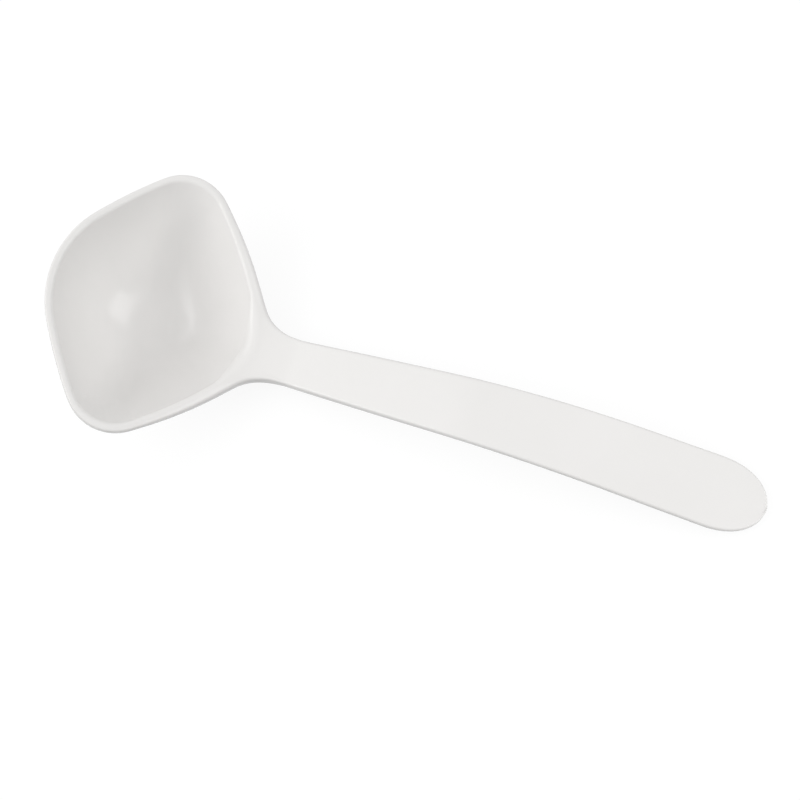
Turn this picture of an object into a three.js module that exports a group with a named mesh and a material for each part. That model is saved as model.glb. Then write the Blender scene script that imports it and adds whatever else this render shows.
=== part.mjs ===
// A sauce spoon, moulded in one piece: a deep lozenge-shaped bowl, a thick neck and a rising handle.
// Lengths are in millimetres and angles in degrees.
// It is drawn with its rim level, x from the bowl to the handle and z up, and then laid down to rest.
import * as THREE from 'three';
import { mergeVertices } from 'three/addons/utils/BufferGeometryUtils.js';

// Rim outline: the lozenge's corners before they are rounded, from the bowl's middle
const tipCorner = 30.3;
const sideCorner = 39.4;
const rearCorner = 36.9;
const tipRadius = 26.2;
const sideRadius = 11.4;
const neckFillet = 12.1;
const frontBow = 0.3;
const rearBow = 0.9;

// Rim: a narrow land; its outer edge widens to a shoulder at the neck, and its inner edge rolls into
// the wall with a round that grows at the neck; its front is lifted above its foot at the neck
const rimEdge = 0.5;
const neckShoulder = 2.6;
const rimLand = 0.3;
const mouthEdge = 1.2;
const mouthNeckEdge = 4;
const mouthNeckReach = 6;
const mouthTurn = 60;
const mouthRearRadius = 14;
const rimLift = 3;

// Bowl: inside depth, wall, the place of its deepest point and the round that its floor tends to
const bowlDepth = 22.5;
const bowlWall = 2.1;
const deepestX = 2.5;
const floorRadius = 27.7;

// Handle, along the middle of its top face; the neck runs on for a little after its bend
const neckWidth = 11.8;
const endWidth = 17;
const neckThickness = 5.6;
const endThickness = 3.4;
const neckStartX = 23.3;
const neckBendRadius = 30;
const shankRise = 34.6;
const shankLength = 35.5;
const gripBendRadius = 135.5;
const gripRise = 15.3;
const gripLength = 32.6;
const endRounding = 13.2;
const handleEdge = 0.7;
const gripDish = 0.35;
const neckBlend = 4;
const neckRun = 9;

// Resting place: how much of the bowl's underside is flattened where it lies on a table
const restFlat = 0.6;

// Shapes without a size: powers of the curves, and shares of a whole
const bowlFullness = 2.4;
const edgeSteepness = 1.5;
const edgeFullness = 3.5;
const floorRoundness = 0.6;
const wallJoin = 0.86;
const wallSweep = 0.4;
const endFullness = 2.3;
const endBelly = 0.45;
const bellyFullness = 3.4;
const leastSide = 0.1;
const thinning = 1.6;
const narrowestFlat = 0.5;
const endLeft = 0.4;

// Facets: columns along the outline, rows down each surface, stations along the handle
const columnCount = { fillet: 5, rear: 5, side: 7, front: 5, tip: 12, neck: 8 };
const rowCount = { cavity: 10, edge: 4, shoulder: 4, side: 3, upperWall: 6, lowerWall: 11 };
const stationCount = { neck: 3, shank: 4, bend: 6, grip: 5, end: 9 };

const white = { color: 0xefefec, roughness: 0.22, metalness: 0 };
const degree = Math.PI / 180;
const quarterTurn = 90 * degree;
const cornerTurn = 45 * degree;
const weld = 1e-4;
const steepestTilt = 60 * degree;
const tiltStep = 1e-9;
const mix = THREE.MathUtils.lerp;

// Outlines in plan

function meet(a, along, b, across) {
  // The point where the line through a meets the line through b.
  const t = (b.clone().sub(a).cross(across)) / along.cross(across);
  return a.clone().addScaledVector(along, t);
}

function lozenge(tip, side, rear) {
  return {
    tip: new THREE.Vector2(-tip, 0),
    side: new THREE.Vector2(0, side),
    rear: new THREE.Vector2(rear, 0),
  };
}

function inset({ tip, side, rear }, distance) {
  // The same lozenge with its sides moved inwards.
  const front = side.clone().sub(tip).normalize();
  const back = rear.clone().sub(side).normalize();
  const frontPoint = tip.clone().add(new THREE.Vector2(front.y, -front.x).multiplyScalar(distance));
  const backPoint = rear.clone().add(new THREE.Vector2(back.y, -back.x).multiplyScalar(distance));
  const axis = new THREE.Vector2(1, 0);
  const middle = new THREE.Vector2(0, 0);
  return {
    tip: meet(frontPoint, front, middle, axis),
    side: meet(frontPoint, front, backPoint, back),
    rear: meet(backPoint, back, middle, axis),
  };
}

const mirrored = (point) => new THREE.Vector2(point.x, -point.y);

function roundedCorner(before, corner, after, radius, count) {
  // Points on the arc that rounds a corner, from one tangent point to the other.
  const toBefore = before.clone().sub(corner).normalize();
  const toAfter = after.clone().sub(corner).normalize();
  const halfAngle = Math.acos(THREE.MathUtils.clamp(toBefore.dot(toAfter), -1, 1)) / 2;
  const reach = radius / Math.tan(halfAngle);
  const towardsCentre = toBefore.clone().add(toAfter).normalize();
  const centre = corner.clone().addScaledVector(towardsCentre, radius / Math.sin(halfAngle));
  const start = corner.clone().addScaledVector(toBefore, reach).sub(centre);
  const turn = (Math.PI - 2 * halfAngle) * Math.sign(toAfter.cross(toBefore));
  const origin = new THREE.Vector2();
  return Array.from({ length: count + 1 }, (_, i) =>
    start.clone().rotateAround(origin, (turn * i) / count).add(centre));
}

function bowedSide(a, b, bow, count) {
  // Points strictly between a and b on a side that swells outwards, to the right of the way from a to b.
  const along = b.clone().sub(a).normalize();
  const outwards = new THREE.Vector2(along.y, -along.x);
  return Array.from({ length: count - 1 }, (_, i) => {
    const t = (i + 1) / count;
    return a.clone().lerp(b, t).addScaledVector(outwards, 4 * bow * t * (1 - t));
  });
}

function openOutline({ tip, side, rear }, radii, halfWidth, endX) {
  // From the neck's +y edge round the bowl to its -y edge.
  const slope = side.clone().sub(rear);
  const neck = rear.clone().addScaledVector(slope, halfWidth / slope.y);
  const edgeEnd = new THREE.Vector2(endX, halfWidth);
  const fillet = roundedCorner(edgeEnd, neck, side, radii.neck, columnCount.fillet - 1);
  const corner = roundedCorner(neck, side, tip, radii.side, columnCount.side);
  const nose = roundedCorner(side, tip, mirrored(side), radii.tip, columnCount.tip);
  const half = [
    edgeEnd,
    ...fillet,
    ...bowedSide(fillet.at(-1), corner[0], rearBow, columnCount.rear),
    ...corner,
    ...bowedSide(corner.at(-1), nose[0], frontBow, columnCount.front),
  ];
  return [...half, ...nose, ...half.map(mirrored).reverse()];
}

function closedOutline({ tip, side, rear }, radii) {
  // The same columns round a closed mouth, with the neck's columns on its rear corner.
  const rearCount = 2 * columnCount.fillet + columnCount.neck;
  const back = roundedCorner(mirrored(side), rear, side, radii.rear, rearCount);
  const corner = roundedCorner(rear, side, tip, radii.side, columnCount.side);
  const nose = roundedCorner(side, tip, mirrored(side), radii.tip, columnCount.tip);
  const half = [
    ...bowedSide(back.at(-1), corner[0], rearBow, columnCount.rear),
    ...corner,
    ...bowedSide(corner.at(-1), nose[0], frontBow, columnCount.front),
  ];
  const loop = [...back, ...half, ...nose, ...half.map(mirrored).reverse()];
  const first = columnCount.fillet + columnCount.neck;
  return [...loop.slice(first), ...loop.slice(0, first)];
}

// Handle: its top face climbs round the neck, runs straight, bends back and ends in the grip

const neckArc = neckBendRadius * shankRise * degree;
const bendArc = gripBendRadius * (shankRise - gripRise) * degree;
const bendStart = neckArc + shankLength;
const gripStart = bendStart + bendArc;
const handleLength = gripStart + gripLength;

function arcPoint(start, angle, radius, turned) {
  // A point on an arc that starts at an angle and turns upwards (or downwards for a negative radius).
  return {
    x: start.x + radius * (Math.sin(angle + turned) - Math.sin(angle)),
    z: start.z + radius * (Math.cos(angle) - Math.cos(angle + turned)),
    angle: angle + turned,
  };
}

function straightPoint(start, angle, length) {
  return { x: start.x + length * Math.cos(angle), z: start.z + length * Math.sin(angle), angle };
}

const neckStart = { x: neckStartX, z: 0, angle: 0 };
const neckEnd = arcPoint(neckStart, 0, neckBendRadius, shankRise * degree);
const shankEnd = straightPoint(neckEnd, neckEnd.angle, shankLength);
const bendEnd = arcPoint(shankEnd, shankEnd.angle, -gripBendRadius, (gripRise - shankRise) * degree);

function topPath(s) {
  if (s < neckArc) return arcPoint(neckStart, 0, neckBendRadius, s / neckBendRadius);
  if (s < bendStart) return straightPoint(neckEnd, neckEnd.angle, s - neckArc);
  const turned = (bendStart - s) / gripBendRadius;
  if (s < gripStart) return arcPoint(shankEnd, shankEnd.angle, -gripBendRadius, turned);
  return straightPoint(bendEnd, bendEnd.angle, s - gripStart);
}

function riseAt(x) {
  // Height of the rim's top where it already climbs with the neck.
  const run = Math.max(0, x - neckStartX);
  return neckBendRadius - Math.sqrt(neckBendRadius ** 2 - run ** 2);
}

// The bowl ends, and the neck starts, where the neck's fillets have run out.
const outer = lozenge(tipCorner, sideCorner, rearCorner);
const halfNeck = neckWidth / 2;
const filletCorner = rearCorner * (1 - halfNeck / sideCorner);
const filletReach = neckFillet * Math.tan(Math.atan2(sideCorner, rearCorner) / 2);
const neckX = filletCorner + filletReach + handleEdge;
const neckStation = neckBendRadius * Math.asin((neckX - neckStartX) / neckBendRadius);

// The belly's cross-section: two sides, each down to a rounded corner, and the underside between them.
const bellyOut = (turn) => Math.sign(Math.cos(turn)) * Math.abs(Math.cos(turn)) ** (2 / bellyFullness);
const bellyDown = (turn) => Math.abs(Math.sin(turn)) ** (2 / bellyFullness);
const sideTurns = evenly(0, cornerTurn, rowCount.side);
const undersideTurns = evenly(cornerTurn, 2 * quarterTurn - cornerTurn, columnCount.neck);
const otherSideTurns = sideTurns.map((turn) => 2 * quarterTurn - turn).reverse();
const bellyTurns = [...sideTurns, ...undersideTurns.slice(1, -1), ...otherSideTurns];

function section(s) {
  // The handle's cross-section at a station: top face, edges and belly, as one loop of points.
  const along = (s - neckStation) / (handleLength - neckStation);
  const spread = 1 - (1 - along) ** 2;
  const round = Math.max(0, (s - handleLength + endRounding) / endRounding);
  const narrowing = Math.sqrt(1 - round ** endFullness);
  const half = mix(halfNeck, endWidth / 2, spread) * narrowing;
  const flat = Math.max(half - handleEdge, half * narrowestFlat);
  const edge = half - flat;
  const fullThickness = mix(neckThickness, endThickness, 1 - (1 - along) ** thinning);
  const thickness = fullThickness * mix(endBelly, 1, narrowing);
  const dish = gripDish * THREE.MathUtils.smoothstep(s, bendStart, gripStart);
  const { x, z, angle } = topPath(s);
  const place = (y, w) => new THREE.Vector3(x - w * Math.sin(angle), y, z + w * Math.cos(angle));
  const top = Array.from({ length: columnCount.neck + 1 }, (_, i) => {
    const y = (2 * i) / columnCount.neck - 1;
    return place(y * flat, -dish * (1 - y * y) ** 2);
  });
  const shoulder = (side) => Array.from({ length: rowCount.shoulder - 1 }, (_, i) => {
    const turn = ((i + 1) / rowCount.shoulder) * quarterTurn;
    return place(side * (flat + edge * Math.sin(turn)), -edge * (1 - Math.cos(turn)));
  });
  const belly = bellyTurns.map((turn) =>
    place(half * bellyOut(turn), -edge - (thickness - edge) * bellyDown(turn)));
  return { top, right: shoulder(1), belly, left: shoulder(-1).reverse() };
}

const loopOf = ({ top, right, belly, left }) => [...top, ...right, ...belly, ...left];

// Surfaces are built from rows of points; each row has as many points as the next

function strip(triangles, a, b, closed) {
  const last = closed ? a.length : a.length - 1;
  for (let i = 0; i < last; i += 1) {
    const j = (i + 1) % a.length;
    triangles.push(a[i], b[i], b[j], a[i], b[j], a[j]);
  }
}

function fan(triangles, centre, row, outwards) {
  for (let i = 0; i < row.length; i += 1) {
    const j = (i + 1) % row.length;
    if (outwards) triangles.push(centre, row[i], row[j]);
    else triangles.push(centre, row[j], row[i]);
  }
}

function cap(triangles, loop, angle, facesAhead) {
  // Closes a section; it is flat, so it is cut into triangles in its own plane.
  const flat = loop.map((p) => new THREE.Vector2(p.y, p.z * Math.cos(angle) - p.x * Math.sin(angle)));
  for (const [a, b, c] of THREE.ShapeUtils.triangulateShape(flat, [])) {
    const clockwise = flat[b].clone().sub(flat[a]).cross(flat[c].clone().sub(flat[a])) < 0;
    if (clockwise === facesAhead) triangles.push(loop[a], loop[c], loop[b]);
    else triangles.push(loop[a], loop[b], loop[c]);
  }
}

// Bowl

const raised = (point, z) => new THREE.Vector3(point.x, point.y, z);
const deepest = new THREE.Vector2(deepestX, 0);

function bowlTriangles() {
  const top = inset(lozenge(tipCorner, sideCorner, rearCorner - neckShoulder), rimEdge);
  const outerRadii = { neck: neckFillet, side: sideRadius, tip: tipRadius };
  const topRadii = { neck: neckFillet + rimEdge, side: sideRadius - rimEdge, tip: tipRadius - rimEdge };
  const landInset = rimEdge + rimLand;
  const landRadii = { rear: mouthRearRadius, side: sideRadius - landInset, tip: tipRadius - landInset };

  const outerPlan = openOutline(outer, outerRadii, halfNeck, neckX);
  const topPlan = openOutline(top, topRadii, halfNeck - handleEdge, neckX);
  const landPlan = closedOutline(inset(top, rimLand), landRadii);
  const rim = outerPlan.length;
  const neck = section(neckStation);
  const triangles = [];

  // Mouth edge: a round at each column, from the land's edge down to the top of the wall.
  const wallSlope = mouthTurn * degree;
  const landRear = Math.max(...landPlan.map((point) => point.x));
  const rolls = landPlan.map((point) => {
    const nearNeck = THREE.MathUtils.smoothstep(point.x, landRear - mouthNeckReach, landRear);
    const inwards = deepest.clone().sub(point).normalize();
    return { point, inwards, radius: mix(mouthEdge, mouthNeckEdge, nearNeck) };
  });
  const rolled = (turn) => rolls.map(({ point, inwards, radius }) => {
    const drop = radius * (1 - Math.cos(turn));
    return raised(point.clone().addScaledVector(inwards, radius * Math.sin(turn)), riseAt(point.x) - drop);
  });
  const mouth = rolled(wallSlope);
  const mouthPlan = mouth.map(({ x, y }) => new THREE.Vector2(x, y));

  // Cavity, from its deepest point to the mouth; rings turn from a round into the mouth's lozenge.
  const ring = (plan, q, depth) => plan.map((point, k) => {
    const arm = point.clone().sub(deepest);
    const round = arm.clone().setLength(mix(arm.length(), floorRadius, (1 - q) * floorRoundness));
    return raised(round.multiplyScalar(q).add(deepest), mix(-depth, mouth[k].z, q ** bowlFullness));
  });
  const floor = raised(deepest, -bowlDepth);
  let row = null;
  for (let i = 1; i <= rowCount.cavity; i += 1) {
    const q = Math.sin((i / rowCount.cavity) * quarterTurn);
    const next = ring(mouthPlan, q, bowlDepth);
    if (row) strip(triangles, row, next, true);
    else fan(triangles, floor, next, true);
    row = next;
  }

  // Up the mouth edge to the land, which runs on into the neck's top face.
  for (let i = 1; i <= rowCount.edge; i += 1) {
    const next = rolled((1 - i / rowCount.edge) * wallSlope);
    strip(triangles, row, next, true);
    row = next;
  }
  const topRim = topPlan.map((point) => raised(point, riseAt(point.x)));
  topRim[0] = neck.top.at(-1);
  topRim[rim - 1] = neck.top[0];
  strip(triangles, row, [...topRim, ...neck.top.slice(1, -1)], true);

  // Rounded outer edge, deeper than it is wide; it loses that extra depth towards the neck.
  const steepnessAt = (x) => mix(edgeSteepness, 1, THREE.MathUtils.smoothstep(x, neckStartX, neckX));
  const edgeDepths = outerPlan.map((point, k) => steepnessAt(point.x) * point.distanceTo(topPlan[k]));
  let edgeRow = topRim;
  for (let i = 1; i <= rowCount.shoulder; i += 1) {
    const turn = (i / rowCount.shoulder) * quarterTurn;
    const out = Math.sin(turn) ** (2 / edgeFullness);
    const down = 1 - Math.max(0, Math.cos(turn)) ** (2 / edgeFullness);
    const next = outerPlan.map((point, k) => {
      const place = topPlan[k].clone().lerp(point, out);
      return raised(place, riseAt(place.x) - edgeDepths[k] * down);
    });
    next[0] = i < rowCount.shoulder ? neck.right[i - 1] : neck.belly[0];
    next[rim - 1] = i < rowCount.shoulder ? neck.left.at(-i) : neck.belly.at(-1);
    strip(triangles, edgeRow, next, false);
    edgeRow = next;
  }

  // The neck's sides run on below that edge, and shrink along the outline to a low strip.
  const back = topPath(neckStation).angle;
  const downwards = new THREE.Vector3(0, 0, -1);
  const downNeck = new THREE.Vector3(Math.sin(back), 0, -Math.cos(back));
  const sides = edgeRow.map((start, k) => {
    const nearNeck = THREE.MathUtils.smoothstep(start.x, neckStartX - neckBlend, neckX);
    const along = outerPlan[Math.min(k + 1, rim - 1)].clone().sub(outerPlan[Math.max(k - 1, 0)]);
    const inwards = new THREE.Vector3(-along.y, along.x, 0).setLength(halfNeck * nearNeck);
    const depth = (neckThickness - edgeDepths[k]) * mix(leastSide, 1, nearNeck);
    const down = downwards.clone().lerp(downNeck, nearNeck).setLength(depth);
    return { start, inwards, down };
  });
  for (let i = 1; i <= rowCount.side; i += 1) {
    const inset = 1 - bellyOut(sideTurns[i]);
    const drop = bellyDown(sideTurns[i]);
    const next = sides.map(({ start, inwards, down }) =>
      start.clone().addScaledVector(inwards, inset).addScaledVector(down, drop));
    next[0] = neck.belly[i];
    next[rim - 1] = neck.belly.at(-1 - i);
    strip(triangles, edgeRow, next, false);
    edgeRow = next;
  }

  // Outside wall: from those sides and the neck's underside down to the bowl's underside.
  const underside = neck.belly.slice(rowCount.side + 1, -1 - rowCount.side);
  const upper = [...edgeRow, ...underside.reverse()];
  const underPlan = mouthPlan.map((point) => {
    const arm = point.clone().sub(deepest);
    return arm.setLength(arm.length() + bowlWall).add(deepest);
  });
  const outsideDepth = bowlDepth + bowlWall;
  const under = (q) => ring(underPlan, q, outsideDepth);
  const lowerShare = (i) => wallJoin * Math.cos((i / rowCount.lowerWall) * quarterTurn);
  const joined = under(wallJoin);
  const below = under(lowerShare(1));
  const underNeck = new THREE.Vector3(-Math.cos(back), 0, -Math.sin(back));
  const walls = upper.map((start, k) => {
    const end = joined[k];
    const reach = start.distanceTo(end) * wallSweep;
    const nearNeck = k >= rim ? 1 : THREE.MathUtils.smoothstep(start.x, neckStartX - neckBlend, neckX);
    const leave = downwards.clone().lerp(underNeck, nearNeck).normalize();
    const arrive = below[k].clone().sub(end).normalize();
    const first = start.clone().addScaledVector(leave, reach);
    const second = end.clone().addScaledVector(arrive, -reach);
    return new THREE.CubicBezierCurve3(start, first, second, end);
  });
  row = upper;
  for (let i = 1; i <= rowCount.upperWall; i += 1) {
    const next = walls.map((curve) => curve.getPoint(i / rowCount.upperWall));
    strip(triangles, row, next, true);
    row = next;
  }
  for (let i = 1; i < rowCount.lowerWall; i += 1) {
    const next = under(lowerShare(i));
    strip(triangles, row, next, true);
    row = next;
  }
  fan(triangles, raised(deepest, -outsideDepth), row, false);

  cap(triangles, loopOf(neck), back, true);
  return triangles;
}

function liftedRim(point) {
  // The rim climbs from the neck to the bowl's middle, and the whole bowl with it.
  const share = 1 - THREE.MathUtils.smoothstep(point.x, 0, neckX);
  return point.clone().setZ(point.z + rimLift * share);
}

// Handle stretches

function stretchTriangles(marks) {
  // A solid between the first and the last of the given stations.
  const triangles = [];
  const loops = marks.map((s) => loopOf(section(s)));
  for (let i = 1; i < loops.length; i += 1) strip(triangles, loops[i - 1], loops[i], true);
  cap(triangles, loops[0], topPath(marks[0]).angle, false);
  cap(triangles, loops.at(-1), topPath(marks.at(-1)).angle, true);
  return triangles;
}

function evenly(from, to, count) {
  return Array.from({ length: count + 1 }, (_, i) => mix(from, to, i / count));
}

function towardsEnd(from, to, count) {
  // Stations that crowd together where the handle's end is rounded, and stop just short of its point.
  return Array.from({ length: count }, (_, i) => {
    const turn = ((i + 1) / (count + endLeft)) * quarterTurn;
    return mix(from, to, Math.sin(turn));
  });
}

const neckStop = neckArc + neckRun;
const neckMarks = evenly(neckStation, neckArc, stationCount.neck);
const shankMarks = evenly(neckStop, bendStart, stationCount.shank);
const bendMarks = evenly(bendStart, gripStart, stationCount.bend);
const endStart = handleLength - endRounding;
const gripMarks = evenly(gripStart, endStart, stationCount.grip);
const endMarks = towardsEnd(endStart, handleLength, stationCount.end);
const solids = {
  bowl: bowlTriangles().map(liftedRim),
  neck: stretchTriangles([...neckMarks, neckStop]),
  handle: stretchTriangles([...shankMarks, ...bendMarks.slice(1)]),
  handle_end: stretchTriangles([...gripMarks, ...endMarks]),
};

// Resting pose: the spoon tips back until its handle's end and the flat under its bowl lie on one surface

const heightAt = (point, tilt) => point.z * Math.cos(tilt) - point.x * Math.sin(tilt);
const lowest = (points, tilt) => Math.min(...points.map((point) => heightAt(point, tilt)));

function restTilt() {
  let level = 0;
  let steep = steepestTilt;
  while (steep - level > tiltStep) {
    const tilt = (level + steep) / 2;
    const bowlIsLower = lowest(solids.bowl, tilt) + restFlat < lowest(solids.handle_end, tilt);
    if (bowlIsLower) level = tilt;
    else steep = tilt;
  }
  return (level + steep) / 2;
}

const tilt = restTilt();
const table = lowest(solids.handle_end, tilt);
const everything = Object.values(solids).flat();
const forward = everything.map((point) => point.x * Math.cos(tilt) + point.z * Math.sin(tilt));
const middle = (Math.min(...forward) + Math.max(...forward)) / 2;

function laidDown(point) {
  const x = point.x * Math.cos(tilt) + point.z * Math.sin(tilt) - middle;
  return [x, point.y, Math.max(0, heightAt(point, tilt) - table)];
}

function solidMesh(name) {
  const geometry = new THREE.BufferGeometry();
  const positions = solids[name].flatMap(laidDown);
  geometry.setAttribute('position', new THREE.Float32BufferAttribute(positions, 3));
  const mesh = new THREE.Mesh(mergeVertices(geometry, weld), new THREE.MeshStandardMaterial(white));
  mesh.geometry.computeVertexNormals();
  mesh.name = name;
  return mesh;
}

const spoon = new THREE.Group();
spoon.name = 'sauce_spoon';
for (const name of Object.keys(solids)) spoon.add(solidMesh(name));

export default spoon;
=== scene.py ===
import math

import bpy
import numpy as np
from mathutils import Matrix, Vector


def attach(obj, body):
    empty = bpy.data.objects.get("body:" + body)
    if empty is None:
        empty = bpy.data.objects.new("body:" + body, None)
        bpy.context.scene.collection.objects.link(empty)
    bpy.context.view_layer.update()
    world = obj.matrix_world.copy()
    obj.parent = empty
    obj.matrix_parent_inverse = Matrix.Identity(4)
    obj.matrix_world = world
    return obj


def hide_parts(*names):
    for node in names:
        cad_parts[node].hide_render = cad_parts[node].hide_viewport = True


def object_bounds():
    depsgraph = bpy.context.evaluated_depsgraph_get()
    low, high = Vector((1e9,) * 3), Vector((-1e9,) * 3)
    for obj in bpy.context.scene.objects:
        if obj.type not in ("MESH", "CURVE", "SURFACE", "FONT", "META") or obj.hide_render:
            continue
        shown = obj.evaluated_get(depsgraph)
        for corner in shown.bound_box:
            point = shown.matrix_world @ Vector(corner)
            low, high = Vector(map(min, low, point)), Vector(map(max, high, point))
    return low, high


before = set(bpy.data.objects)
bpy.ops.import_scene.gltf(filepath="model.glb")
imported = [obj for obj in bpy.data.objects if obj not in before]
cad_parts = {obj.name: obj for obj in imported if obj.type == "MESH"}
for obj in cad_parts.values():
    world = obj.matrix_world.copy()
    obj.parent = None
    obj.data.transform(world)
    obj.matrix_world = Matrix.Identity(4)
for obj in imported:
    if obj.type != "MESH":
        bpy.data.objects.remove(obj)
cad_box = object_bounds()

# Sizes of the spoon in millimetres and degrees, with its rim level: x from the bowl to the handle, z up
TIP_CORNER = 30.3
SIDE_CORNER = 39.4
REAR_CORNER = 36.9
TIP_RADIUS = 26.2
SIDE_RADIUS = 11.4
NECK_FILLET = 12.1
FRONT_BOW = 0.3
REAR_BOW = 0.9
RIM_EDGE = 0.5
NECK_SHOULDER = 2.6
RIM_LAND = 0.3
MOUTH_EDGE = 1.2
MOUTH_NECK_EDGE = 4.0
MOUTH_NECK_REACH = 6.0
MOUTH_TURN = 60.0
MOUTH_REAR_RADIUS = 14.0
RIM_LIFT = 3.0
BOWL_DEPTH = 22.5
BOWL_WALL = 2.1
DEEPEST_X = 2.5
FLOOR_RADIUS = 27.7
NECK_WIDTH = 11.8
END_WIDTH = 17.0
NECK_THICKNESS = 5.6
END_THICKNESS = 3.4
NECK_START_X = 23.3
NECK_BEND_RADIUS = 30.0
SHANK_RISE = 34.6
SHANK_LENGTH = 35.5
GRIP_BEND_RADIUS = 135.5
GRIP_RISE = 15.3
GRIP_LENGTH = 32.6
END_ROUNDING = 13.2
HANDLE_EDGE = 0.7
GRIP_DISH = 0.35
NECK_BLEND = 4.0
BELLY_CORNER_TURN = 45.0
REST_FLAT = 0.6
STEEPEST_TILT = 60.0

# Powers of the curves, and shares of a whole
BOWL_FULLNESS = 2.4
EDGE_STEEPNESS = 1.5
EDGE_FULLNESS = 3.5
FLOOR_ROUNDNESS = 0.6
WALL_JOIN = 0.86
BELOW_WALL_JOIN = WALL_JOIN * 0.98
WALL_SWEEP = 0.4
END_FULLNESS = 2.3
END_BELLY = 0.45
BELLY_FULLNESS = 3.4
LEAST_SIDE = 0.1
THINNING = 1.6
NARROWEST_FLAT = 0.5

# Fineness: columns along the outline, rows down each surface, stations along the handle
FILLET, REAR, SIDE, FRONT, TIP, NECK = 14, 20, 26, 14, 40, 24
CAVITY_ROWS, EDGE_ROWS, LAND_ROWS, SHOULDER_ROWS, SIDE_ROWS = 30, 8, 6, 8, 8
UPPER_WALL_ROWS, LOWER_WALL_ROWS = 20, 18
NECK_STATIONS, SHANK_STATIONS, BEND_STATIONS, GRIP_STATIONS, END_STATIONS = 10, 20, 28, 16, 30
EASING_ROUNDS = 6
TILT_STEP = 1e-6

# Look of the plastic: its clouded colour and gloss
PLASTIC_IOR = 1.5
CLOUDS = {"Scale": 38.0, "Detail": 3.0, "Roughness": 0.55}
CLOUD_COLOURS = [(0.3, (0.842, 0.832, 0.818, 1)), (0.7, (0.862, 0.850, 0.838, 1))]
SHEEN = {"Scale": 160.0, "Detail": 4.0, "Roughness": 0.6}
GLOSSIEST, DULLEST = 0.18, 0.25

# Floor, room and the point that the lamps face, with lengths in metres
FLOOR_HALF = 6.0
FLOOR_DROP = 0.0001
FLOOR_GREY = (0.12, 0.12, 0.12, 1)
FLOOR_GLOW = 0.9
WHITE = (1, 1, 1, 1)
ROOM_STRENGTH = 0.65
BOWL_MIDDLE = Vector((-0.06, 0.0, 0.02))

# Camera over the level spoon: millimetres, with the roll in degrees and the nearest distance in metres
CAMERA_PLACE = (-7.3, -78.2, 306.9)
CAMERA_AIM = (66.66, 2.96, 0.0)
CAMERA_ROLL = 64.39
FILM_WIDTH = 36.0
LENS = 58.5
NEAREST_SEEN = 0.01

MM = 0.001
DOWN = np.array([0, 0, -1.0])


def smoothstep(value, low, high):
    t = np.clip((value - low) / (high - low), 0.0, 1.0)
    return t * t * (3.0 - 2.0 * t)


def mix(a, b, t):
    return a + (b - a) * t


def unit(v):
    return v / np.linalg.norm(v)


def across(v):
    """To the right of a direction in plan."""
    return np.array([v[1], -v[0]])


# Outlines in plan

def lozenge(tip, side, rear):
    """Three of its corners: the tip, the +y side and the rear."""
    return np.array([-tip, 0.0]), np.array([0.0, side]), np.array([rear, 0.0])


def meet(a, along, b, other):
    """The point where the line through a meets the line through b."""
    t = np.linalg.solve(np.array([along, -other]).T, b - a)[0]
    return a + along * t


def inset(corners, distance):
    """The same lozenge with its sides moved inwards."""
    tip, side, rear = corners
    front, back = unit(side - tip), unit(rear - side)
    on_front = tip + across(front) * distance
    on_back = rear + across(back) * distance
    middle, axis = np.zeros(2), np.array([1.0, 0.0])
    return (meet(on_front, front, middle, axis),
            meet(on_front, front, on_back, back),
            meet(on_back, back, middle, axis))


def mirrored(plan):
    return np.asarray(plan) * [1.0, -1.0]


def rounded_corner(before, corner, after, radius, count):
    """Points of the arc that rounds the corner between two neighbours."""
    to_before, to_after = unit(before - corner), unit(after - corner)
    half_angle = math.acos(float(np.clip(to_before @ to_after, -1, 1))) / 2
    centre = corner + unit(to_before + to_after) * radius / math.sin(half_angle)
    start = corner + to_before * radius / math.tan(half_angle) - centre
    way = np.sign(to_after[0] * to_before[1] - to_after[1] * to_before[0])
    turns = way * (math.pi - 2 * half_angle) * np.linspace(0, 1, count + 1)
    c, s = np.cos(turns), np.sin(turns)
    return centre + np.stack([start[0] * c - start[1] * s, start[0] * s + start[1] * c], 1)


def bowed_side(a, b, bow, count):
    """Points between two ends, on a side that bows outwards."""
    t = np.linspace(0, 1, count + 1)[1:-1, None]
    return a + (b - a) * t + across(unit(b - a)) * 4 * bow * t * (1 - t)


def eased(plan, closed):
    """Takes the last kinks out of an outline."""
    plan = plan.copy()
    for _ in range(EASING_ROUNDS):
        if closed:
            plan = (np.roll(plan, 1, 0) + 2 * plan + np.roll(plan, -1, 0)) / 4
        else:
            plan[1:-1] = (plan[:-2] + 2 * plan[1:-1] + plan[2:]) / 4
    return plan


def open_outline(corners, neck_radius, side_radius, tip_radius, half_width, end_x):
    """From the neck's +y edge round the bowl to its -y edge."""
    tip, side, rear = corners
    neck = rear + (side - rear) * half_width / side[1]
    edge_end = np.array([end_x, half_width])
    fillet = rounded_corner(edge_end, neck, side, neck_radius, FILLET - 1)
    corner = rounded_corner(neck, side, tip, side_radius, SIDE)
    nose = rounded_corner(side, tip, mirrored(side), tip_radius, TIP)
    half = np.concatenate([
        [edge_end], fillet, bowed_side(fillet[-1], corner[0], REAR_BOW, REAR),
        corner, bowed_side(corner[-1], nose[0], FRONT_BOW, FRONT)])
    return eased(np.concatenate([half, nose, mirrored(half)[::-1]]), closed=False)


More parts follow.
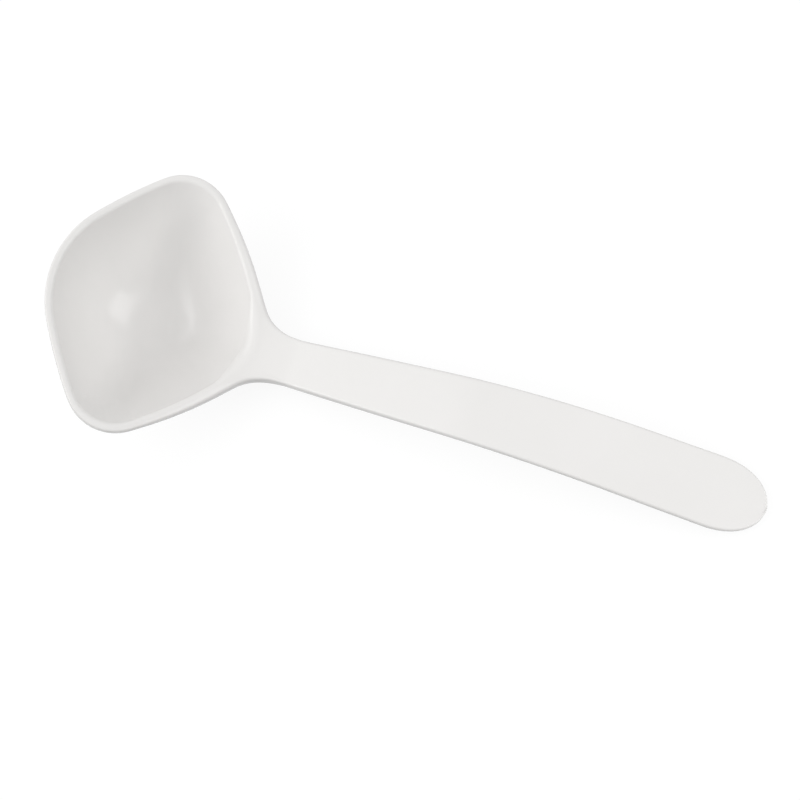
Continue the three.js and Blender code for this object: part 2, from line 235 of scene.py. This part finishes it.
def closed_outline(corners, rear_radius, side_radius, tip_radius):
    """The same columns round a closed mouth, with the neck's columns on its rear corner."""
    tip, side, rear = corners
    back = rounded_corner(mirrored(side), rear, side, rear_radius, 2 * FILLET + NECK)
    corner = rounded_corner(rear, side, tip, side_radius, SIDE)
    nose = rounded_corner(side, tip, mirrored(side), tip_radius, TIP)
    half = np.concatenate([
        bowed_side(back[-1], corner[0], REAR_BOW, REAR),
        corner, bowed_side(corner[-1], nose[0], FRONT_BOW, FRONT)])
    loop = np.concatenate([back, half, nose, mirrored(half)[::-1]])
    return eased(np.roll(loop, -(FILLET + NECK), 0), closed=True)


# The handle's top face climbs round the neck, runs straight, bends back and ends in the grip

NECK_ARC = NECK_BEND_RADIUS * math.radians(SHANK_RISE)
BEND_START = NECK_ARC + SHANK_LENGTH
GRIP_START = BEND_START + GRIP_BEND_RADIUS * math.radians(SHANK_RISE - GRIP_RISE)
HANDLE_LENGTH = GRIP_START + GRIP_LENGTH


def arc_point(x, z, angle, radius, turned_by):
    return (x + radius * (math.sin(angle + turned_by) - math.sin(angle)),
            z + radius * (math.cos(angle) - math.cos(angle + turned_by)), angle + turned_by)


def straight_point(x, z, angle, length):
    return x + length * math.cos(angle), z + length * math.sin(angle), angle


NECK_END = arc_point(NECK_START_X, 0, 0, NECK_BEND_RADIUS, math.radians(SHANK_RISE))
SHANK_END = straight_point(*NECK_END, SHANK_LENGTH)
BEND_END = arc_point(*SHANK_END, -GRIP_BEND_RADIUS, math.radians(GRIP_RISE - SHANK_RISE))


def top_path(s):
    """Place and slope of the top face's middle at a length along it: x, z and angle."""
    if s < NECK_ARC:
        return arc_point(NECK_START_X, 0, 0, NECK_BEND_RADIUS, s / NECK_BEND_RADIUS)
    if s < BEND_START:
        return straight_point(*NECK_END, s - NECK_ARC)
    if s < GRIP_START:
        return arc_point(*SHANK_END, -GRIP_BEND_RADIUS, (BEND_START - s) / GRIP_BEND_RADIUS)
    return straight_point(*BEND_END, s - GRIP_START)


def rise_at(x):
    """Height of the rim's top where it already climbs with the neck."""
    run = np.maximum(0.0, x - NECK_START_X)
    return NECK_BEND_RADIUS - np.sqrt(NECK_BEND_RADIUS ** 2 - run ** 2)


# Where the bowl's outline ends and the handle goes on

HALF_NECK = NECK_WIDTH / 2
FILLET_CORNER = REAR_CORNER * (1 - HALF_NECK / SIDE_CORNER)
FILLET_REACH = NECK_FILLET * math.tan(math.atan2(SIDE_CORNER, REAR_CORNER) / 2)
NECK_X = FILLET_CORNER + FILLET_REACH + HANDLE_EDGE
NECK_STATION = NECK_BEND_RADIUS * math.asin((NECK_X - NECK_START_X) / NECK_BEND_RADIUS)

# The belly's cross-section: two sides, each down to a rounded corner, and the underside between them

CORNER_TURN = math.radians(BELLY_CORNER_TURN)
SIDE_TURNS = np.linspace(0, CORNER_TURN, SIDE_ROWS + 1)
UNDERSIDE_TURNS = np.linspace(CORNER_TURN, math.pi - CORNER_TURN, NECK + 1)
BELLY_TURNS = np.concatenate([SIDE_TURNS, UNDERSIDE_TURNS[1:-1], math.pi - SIDE_TURNS[::-1]])
BELLY_OUT = np.sign(np.cos(BELLY_TURNS)) * np.abs(np.cos(BELLY_TURNS)) ** (2 / BELLY_FULLNESS)
BELLY_OUT[SIDE_ROWS + NECK // 2] = 0.0
BELLY_DOWN = np.abs(np.sin(BELLY_TURNS)) ** (2 / BELLY_FULLNESS)
BELLY_DOWN[0] = BELLY_DOWN[-1] = 0.0


def section(s):
    """The handle's cross-section at a station: top face, edges and belly."""
    along = (s - NECK_STATION) / (HANDLE_LENGTH - NECK_STATION)
    into_end = max(0.0, (s - HANDLE_LENGTH + END_ROUNDING) / END_ROUNDING)
    narrowing = math.sqrt(1 - into_end ** END_FULLNESS)
    half = mix(HALF_NECK, END_WIDTH / 2, 1 - (1 - along) ** 2) * narrowing
    flat = max(half - HANDLE_EDGE, half * NARROWEST_FLAT)
    edge = half - flat
    thickness = mix(NECK_THICKNESS, END_THICKNESS, 1 - (1 - along) ** THINNING)
    thickness *= mix(END_BELLY, 1.0, narrowing)
    dish = GRIP_DISH * smoothstep(s, BEND_START, GRIP_START)
    x, z, angle = top_path(s)

    def place(y, w):
        y, w = np.broadcast_arrays(y, w)
        return np.stack([x - w * math.sin(angle), y, z + w * math.cos(angle)], 1)

    y = np.linspace(-1, 1, NECK + 1)
    top = place(y * flat, -dish * (1 - y * y) ** 2)
    turn = np.linspace(0, math.pi / 2, SHOULDER_ROWS + 1)[1:-1]
    right = place(flat + edge * np.sin(turn), -edge * (1 - np.cos(turn)))
    left = (right * [1, -1, 1])[::-1]
    belly = place(half * BELLY_OUT, -edge - (thickness - edge) * BELLY_DOWN)
    return top, right, belly, left


# The whole spoon is one unbroken surface, built from rows of points

points = []
faces = []


def add_row(row):
    """Adds points and gives their numbers."""
    first = len(points)
    points.extend(np.asarray(row, float))
    return list(range(first, len(points)))


def strip(a, b, closed):
    """Faces between two rows of points."""
    last = len(a) if closed else len(a) - 1
    for i in range(last):
        j = (i + 1) % len(a)
        faces.append((a[i], b[i], b[j], a[j]))


def fan(centre, row, outwards):
    """Faces between one point and a closed row."""
    for i in range(len(row)):
        j = (i + 1) % len(row)
        faces.append((centre, row[i], row[j]) if outwards else (centre, row[j], row[i]))


def grow(row, next_row):
    """Goes on from a closed row to the next one and gives the new row's numbers."""
    new = add_row(next_row)
    strip(row, new, True)
    return new


def raised(plan, z):
    return np.column_stack([plan, np.broadcast_to(z, len(plan))])


def build_bowl():
    """Adds the bowl and gives the loop of points where the handle goes on."""
    outer = lozenge(TIP_CORNER, SIDE_CORNER, REAR_CORNER)
    top = inset(lozenge(TIP_CORNER, SIDE_CORNER, REAR_CORNER - NECK_SHOULDER), RIM_EDGE)
    land_inset = RIM_EDGE + RIM_LAND
    outer_plan = open_outline(outer, NECK_FILLET, SIDE_RADIUS, TIP_RADIUS, HALF_NECK, NECK_X)
    top_plan = open_outline(top, NECK_FILLET + RIM_EDGE, SIDE_RADIUS - RIM_EDGE,
                            TIP_RADIUS - RIM_EDGE, HALF_NECK - HANDLE_EDGE, NECK_X)
    land = closed_outline(inset(top, RIM_LAND), MOUTH_REAR_RADIUS, SIDE_RADIUS - land_inset,
                          TIP_RADIUS - land_inset)
    rim = len(outer_plan)
    neck_top, neck_right, neck_belly, neck_left = section(NECK_STATION)
    deepest = np.array([DEEPEST_X, 0.0])

    # Mouth edge: a round at each column, from the land's edge down to the top of the wall
    land_rear = land[:, 0].max()
    near_neck = smoothstep(land[:, 0], land_rear - MOUTH_NECK_REACH, land_rear)
    radius = mix(MOUTH_EDGE, MOUTH_NECK_EDGE, near_neck)
    inwards = (deepest - land) / np.linalg.norm(deepest - land, axis=1, keepdims=True)

    def rolled(turn):
        plan = land + inwards * radius[:, None] * math.sin(turn)
        return raised(plan, rise_at(land[:, 0]) - radius * (1 - math.cos(turn)))

    wall_slope = math.radians(MOUTH_TURN)
    mouth = rolled(wall_slope)
    mouth_plan = mouth[:, :2]

    def ring(plan, q, depth):
        arm = plan - deepest
        length = np.linalg.norm(arm, axis=1, keepdims=True)
        wanted = mix(length, FLOOR_RADIUS, (1 - q) * FLOOR_ROUNDNESS)
        return raised(deepest + arm / length * wanted * q, mix(-depth, mouth[:, 2], q ** BOWL_FULLNESS))

    # Cavity
    def cavity_ring(i):
        return ring(mouth_plan, math.sin(i / CAVITY_ROWS * math.pi / 2), BOWL_DEPTH)

    floor_point = add_row([[DEEPEST_X, 0, -BOWL_DEPTH]])[0]
    row = add_row(cavity_ring(1))
    fan(floor_point, row, True)
    for i in range(2, CAVITY_ROWS + 1):
        row = grow(row, cavity_ring(i))

    # Up the mouth edge to the land, which runs on into the neck's top face
    for i in range(1, EDGE_ROWS + 1):
        row = grow(row, rolled(wall_slope * (1 - i / EDGE_ROWS)))
    top_rim = raised(top_plan, rise_at(top_plan[:, 0]))
    top_rim[0], top_rim[-1] = neck_top[-1], neck_top[0]
    land_end = np.concatenate([top_rim, neck_top[1:-1]])
    for i in range(1, LAND_ROWS):
        plan = mix(land, land_end[:, :2], i / LAND_ROWS)
        row = grow(row, raised(plan, rise_at(plan[:, 0])))
    top_row = grow(row, land_end)

    # Rounded outer edge
    steepness = mix(EDGE_STEEPNESS, 1.0, smoothstep(outer_plan[:, 0], NECK_START_X, NECK_X))
    edge_depth = steepness * np.linalg.norm(outer_plan - top_plan, axis=1)
    edge_row = top_row[:rim]
    right, left = [], []
    for i in range(1, SHOULDER_ROWS + 1):
        turn = i / SHOULDER_ROWS * math.pi / 2
        out = math.sin(turn) ** (2 / EDGE_FULLNESS)
        fall = 1 - abs(math.cos(turn)) ** (2 / EDGE_FULLNESS)
        plan = mix(top_plan, outer_plan, out)
        lower_edge = raised(plan, rise_at(plan[:, 0]) - edge_depth * fall)
        lower_edge[0] = neck_right[i - 1] if i < SHOULDER_ROWS else neck_belly[0]
        lower_edge[-1] = neck_left[-i] if i < SHOULDER_ROWS else neck_belly[-1]
        new = add_row(lower_edge)
        strip(edge_row, new, False)
        edge_row = new
        right.append(new[0])
        left.append(new[-1])

    # The neck's sides run on below that edge, and shrink along the outline to a low strip
    angle = top_path(NECK_STATION)[2]
    edge = np.array([points[k] for k in edge_row])
    edge_share = smoothstep(edge[:, 0], NECK_START_X - NECK_BLEND, NECK_X)[:, None]
    outline_way = np.gradient(outer_plan, axis=0)
    tuck = raised(np.column_stack([-outline_way[:, 1], outline_way[:, 0]]), 0.0)
    tuck *= HALF_NECK * edge_share / np.linalg.norm(tuck, axis=1, keepdims=True)
    drop = mix(DOWN, np.array([math.sin(angle), 0, -math.cos(angle)]), edge_share)
    drop /= np.linalg.norm(drop, axis=1, keepdims=True)
    drop *= (NECK_THICKNESS - edge_depth[:, None]) * mix(LEAST_SIDE, 1.0, edge_share)
    for i in range(1, SIDE_ROWS + 1):
        side = edge + tuck * (1 - BELLY_OUT[i]) + drop * BELLY_DOWN[i]
        side[0], side[-1] = neck_belly[i], neck_belly[-1 - i]
        lowest = i == SIDE_ROWS
        if lowest:
            side = np.concatenate([side, neck_belly[SIDE_ROWS + 1:-1 - SIDE_ROWS][::-1]])
        upper = add_row(side)
        strip(edge_row, upper[:rim], False)
        edge_row = upper[:rim]
        if not lowest:
            right.append(upper[0])
            left.append(upper[rim - 1])

    # Outside wall: from those sides and the neck's underside down to the bowl's underside
    arm = mouth_plan - deepest
    length = np.linalg.norm(arm, axis=1, keepdims=True)
    under_plan = deepest + arm * (length + BOWL_WALL) / length
    outside_depth = BOWL_DEPTH + BOWL_WALL

    def under(q):
        return ring(under_plan, q, outside_depth)

    start = np.array([points[k] for k in upper])
    end = under(WALL_JOIN)
    reach = np.linalg.norm(end - start, axis=1, keepdims=True) * WALL_SWEEP
    neck_share = smoothstep(start[:, 0], NECK_START_X - NECK_BLEND, NECK_X)
    neck_share[rim:] = 1.0
    under_neck = np.array([-math.cos(angle), 0, -math.sin(angle)])
    leave = mix(DOWN, under_neck, neck_share[:, None])
    leave /= np.linalg.norm(leave, axis=1, keepdims=True)
    arrive = under(BELOW_WALL_JOIN) - end
    arrive /= np.linalg.norm(arrive, axis=1, keepdims=True)
    first, second = start + leave * reach, end - arrive * reach
    row = upper
    for i in range(1, UPPER_WALL_ROWS + 1):
        t = i / UPPER_WALL_ROWS
        leaving = start * (1 - t) ** 3 + first * 3 * t * (1 - t) ** 2
        arriving = second * 3 * t * t * (1 - t) + end * t ** 3
        row = grow(row, leaving + arriving)
    for i in range(1, LOWER_WALL_ROWS):
        row = grow(row, under(WALL_JOIN * math.cos(i / LOWER_WALL_ROWS * math.pi / 2)))
    fan(add_row([[DEEPEST_X, 0, -outside_depth]])[0], row, False)

    # The rim climbs from the neck to the bowl's middle, and the whole bowl with it
    for point in points:
        point[2] += RIM_LIFT * (1 - smoothstep(point[0], 0.0, NECK_X))

    top_loop = [top_row[rim - 1], *top_row[rim:], top_row[0]]
    belly_loop = [upper[0], *upper[rim:][::-1], upper[rim - 1]]
    return [*top_loop, *right, *belly_loop, *left[::-1]]


def build_handle(loop):
    """Goes on from the bowl's loop, station by station, to the closed end."""
    marks = [
        *np.linspace(NECK_STATION, NECK_ARC, NECK_STATIONS + 1)[1:],
        *np.linspace(NECK_ARC, BEND_START, SHANK_STATIONS + 1)[1:],
        *np.linspace(BEND_START, GRIP_START, BEND_STATIONS + 1)[1:],
        *np.linspace(GRIP_START, HANDLE_LENGTH - END_ROUNDING, GRIP_STATIONS + 1)[1:],
    ]
    turns = np.linspace(0, math.pi / 2, END_STATIONS + 1)[1:-1]
    marks.extend(HANDLE_LENGTH - END_ROUNDING * (1 - np.sin(turns)))
    for s in marks:
        loop = grow(loop, np.concatenate(section(s)))
    end_x = top_path(HANDLE_LENGTH)[0]
    end_z = np.mean([points[k] for k in loop], axis=0)[2]
    fan(add_row([[end_x, 0, end_z]])[0], loop, False)


# Resting pose: tipped back until the handle's end and the flat under the bowl lie on one surface

def height(rows, tilt):
    return rows[:, 2] * math.cos(tilt) - rows[:, 0] * math.sin(tilt)


bowl_loop = build_bowl()
bowl_count = len(points)
build_handle(bowl_loop)
shape = np.array(points)
bowl_shape, handle_shape = shape[:bowl_count], shape[bowl_count:]
level, steep = 0.0, math.radians(STEEPEST_TILT)
while steep - level > TILT_STEP:
    tilt = (level + steep) / 2
    bowl_is_lower = height(bowl_shape, tilt).min() + REST_FLAT < height(handle_shape, tilt).min()
    level, steep = (tilt, steep) if bowl_is_lower else (level, tilt)
table = height(shape, tilt).max() - cad_box[1].z / MM
tilted_x = shape[:, 0] * math.cos(tilt) + shape[:, 2] * math.sin(tilt)
shift = cad_box[0].x / MM - tilted_x.min()


def laid_down(p):
    """A point of the level spoon, in millimetres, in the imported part's frame, in metres."""
    x, y, z = p
    return Vector((x * math.cos(tilt) + z * math.sin(tilt) + shift, y,
                   z * math.cos(tilt) - x * math.sin(tilt) - table)) * MM


def turned(v):
    """A direction at the level spoon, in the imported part's frame."""
    x, y, z = v
    return Vector((x * math.cos(tilt) + z * math.sin(tilt), y, z * math.cos(tilt) - x * math.sin(tilt)))


# The flat under the bowl is where the surface that it lies on cuts it off
mesh = bpy.data.meshes.new("spoon")
mesh.from_pydata([(p.x, p.y, max(0.0, p.z)) for p in map(laid_down, shape)], [], faces)
mesh.validate()
mesh.polygons.foreach_set("use_smooth", [True] * len(mesh.polygons))
spoon = bpy.data.objects.new("spoon", mesh)
bpy.context.scene.collection.objects.link(spoon)
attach(spoon, "root")
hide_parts("bowl", "neck", "handle", "handle_end")


# White moulded plastic

def node(tree, kind, **values):
    """A new shader node with values for its inputs and settings."""
    made = tree.nodes.new(kind)
    for name, value in values.items():
        if name in made.inputs:
            made.inputs[name].default_value = value
        else:
            setattr(made, name, value)
    return made


def white_plastic():
    material = bpy.data.materials.new("white_plastic")
    material.use_nodes = True
    tree = material.node_tree
    shader = tree.nodes["Principled BSDF"]
    shader.inputs["IOR"].default_value = PLASTIC_IOR
    place = node(tree, "ShaderNodeTexCoord")
    clouds = node(tree, "ShaderNodeTexNoise", **CLOUDS)
    tree.links.new(place.outputs["Object"], clouds.inputs["Vector"])
    colour = node(tree, "ShaderNodeValToRGB")
    for stop, (position, shade) in zip(colour.color_ramp.elements, CLOUD_COLOURS):
        stop.position = position
        stop.color = shade
    tree.links.new(clouds.outputs["Fac"], colour.inputs["Fac"])
    tree.links.new(colour.outputs["Color"], shader.inputs["Base Color"])
    sheen = node(tree, "ShaderNodeTexNoise", **SHEEN)
    tree.links.new(place.outputs["Object"], sheen.inputs["Vector"])
    rough = node(tree, "ShaderNodeMapRange")
    rough.inputs["To Min"].default_value = GLOSSIEST
    rough.inputs["To Max"].default_value = DULLEST
    tree.links.new(sheen.outputs["Fac"], rough.inputs["Value"])
    tree.links.new(rough.outputs["Result"], shader.inputs["Roughness"])
    return material


spoon.data.materials.append(white_plastic())


# Floor, which the camera sees as white, with the spoon's soft shadow

def floor_material():
    """Matt grey for the spoon, with a white glow for the camera and in reflections."""
    material = bpy.data.materials.new("floor")
    material.use_nodes = True
    tree = material.node_tree
    tree.nodes.clear()
    out = node(tree, "ShaderNodeOutputMaterial")
    matt = node(tree, "ShaderNodeBsdfDiffuse", Color=FLOOR_GREY)
    glow = node(tree, "ShaderNodeEmission", Color=WHITE, Strength=FLOOR_GLOW)
    both = node(tree, "ShaderNodeAddShader")
    tree.links.new(matt.outputs[0], both.inputs[0])
    tree.links.new(glow.outputs[0], both.inputs[1])
    path = node(tree, "ShaderNodeLightPath")
    two_kinds = node(tree, "ShaderNodeMath", operation="MAXIMUM")
    all_three = node(tree, "ShaderNodeMath", operation="MAXIMUM")
    tree.links.new(path.outputs["Is Camera Ray"], two_kinds.inputs[0])
    tree.links.new(path.outputs["Is Glossy Ray"], two_kinds.inputs[1])
    tree.links.new(two_kinds.outputs[0], all_three.inputs[0])
    tree.links.new(path.outputs["Is Transmission Ray"], all_three.inputs[1])
    choice = node(tree, "ShaderNodeMixShader")
    tree.links.new(all_three.outputs[0], choice.inputs[0])
    tree.links.new(matt.outputs[0], choice.inputs[1])
    tree.links.new(both.outputs[0], choice.inputs[2])
    tree.links.new(choice.outputs[0], out.inputs[0])
    return material


floor_mesh = bpy.data.meshes.new("floor")
floor_mesh.from_pydata([(-FLOOR_HALF, -FLOOR_HALF, 0), (FLOOR_HALF, -FLOOR_HALF, 0),
                        (FLOOR_HALF, FLOOR_HALF, 0), (-FLOOR_HALF, FLOOR_HALF, 0)], [], [(0, 1, 2, 3)])
floor = bpy.data.objects.new("floor", floor_mesh)
floor.location.z = -FLOOR_DROP
floor.data.materials.append(floor_material())
bpy.context.scene.collection.objects.link(floor)

# Light: an even white room and three soft boxes, two on the picture's left and one on its right

world = bpy.data.worlds.new("room")
bpy.context.scene.world = world
world.use_nodes = True
background = world.node_tree.nodes["Background"]
background.inputs["Color"].default_value = WHITE
background.inputs["Strength"].default_value = ROOM_STRENGTH


def lamp(name, size, power, place):
    """A square soft box that faces the bowl."""
    light = bpy.data.lights.new(name, "AREA")
    light.size = size
    light.energy = power
    made = bpy.data.objects.new(name, light)
    made.location = place
    made.rotation_euler = (BOWL_MIDDLE - made.location).to_track_quat("-Z", "Y").to_euler()
    bpy.context.scene.collection.objects.link(made)


lamp("left_near", size=0.50, power=1.70, place=(-0.445, -0.293, 0.526))
lamp("left_far", size=0.35, power=0.36, place=(-0.405, 0.105, 0.62))
lamp("right_low", size=0.45, power=1.34, place=(0.583, 0.108, 0.273))

# Camera, placed over the level spoon and turned with it

camera = bpy.data.objects.new("camera", bpy.data.cameras.new("camera"))
forward = (Vector(CAMERA_AIM) - Vector(CAMERA_PLACE)).normalized()
level_right = forward.cross(Vector((0, 0, 1))).normalized()
level_up = level_right.cross(forward)
roll = math.radians(CAMERA_ROLL)
right = level_right * math.cos(roll) + level_up * math.sin(roll)
up = right.cross(forward)
axes = Matrix((turned(right), turned(up), -turned(forward))).transposed()
camera.matrix_world = Matrix.Translation(laid_down(CAMERA_PLACE)) @ axes.to_4x4()
camera.data.sensor_width = FILM_WIDTH
camera.data.lens = LENS
camera.data.clip_start = NEAREST_SEEN
bpy.context.scene.collection.objects.link(camera)
bpy.context.scene.camera = camera

bpy.context.scene.view_settings.view_transform = "Standard"
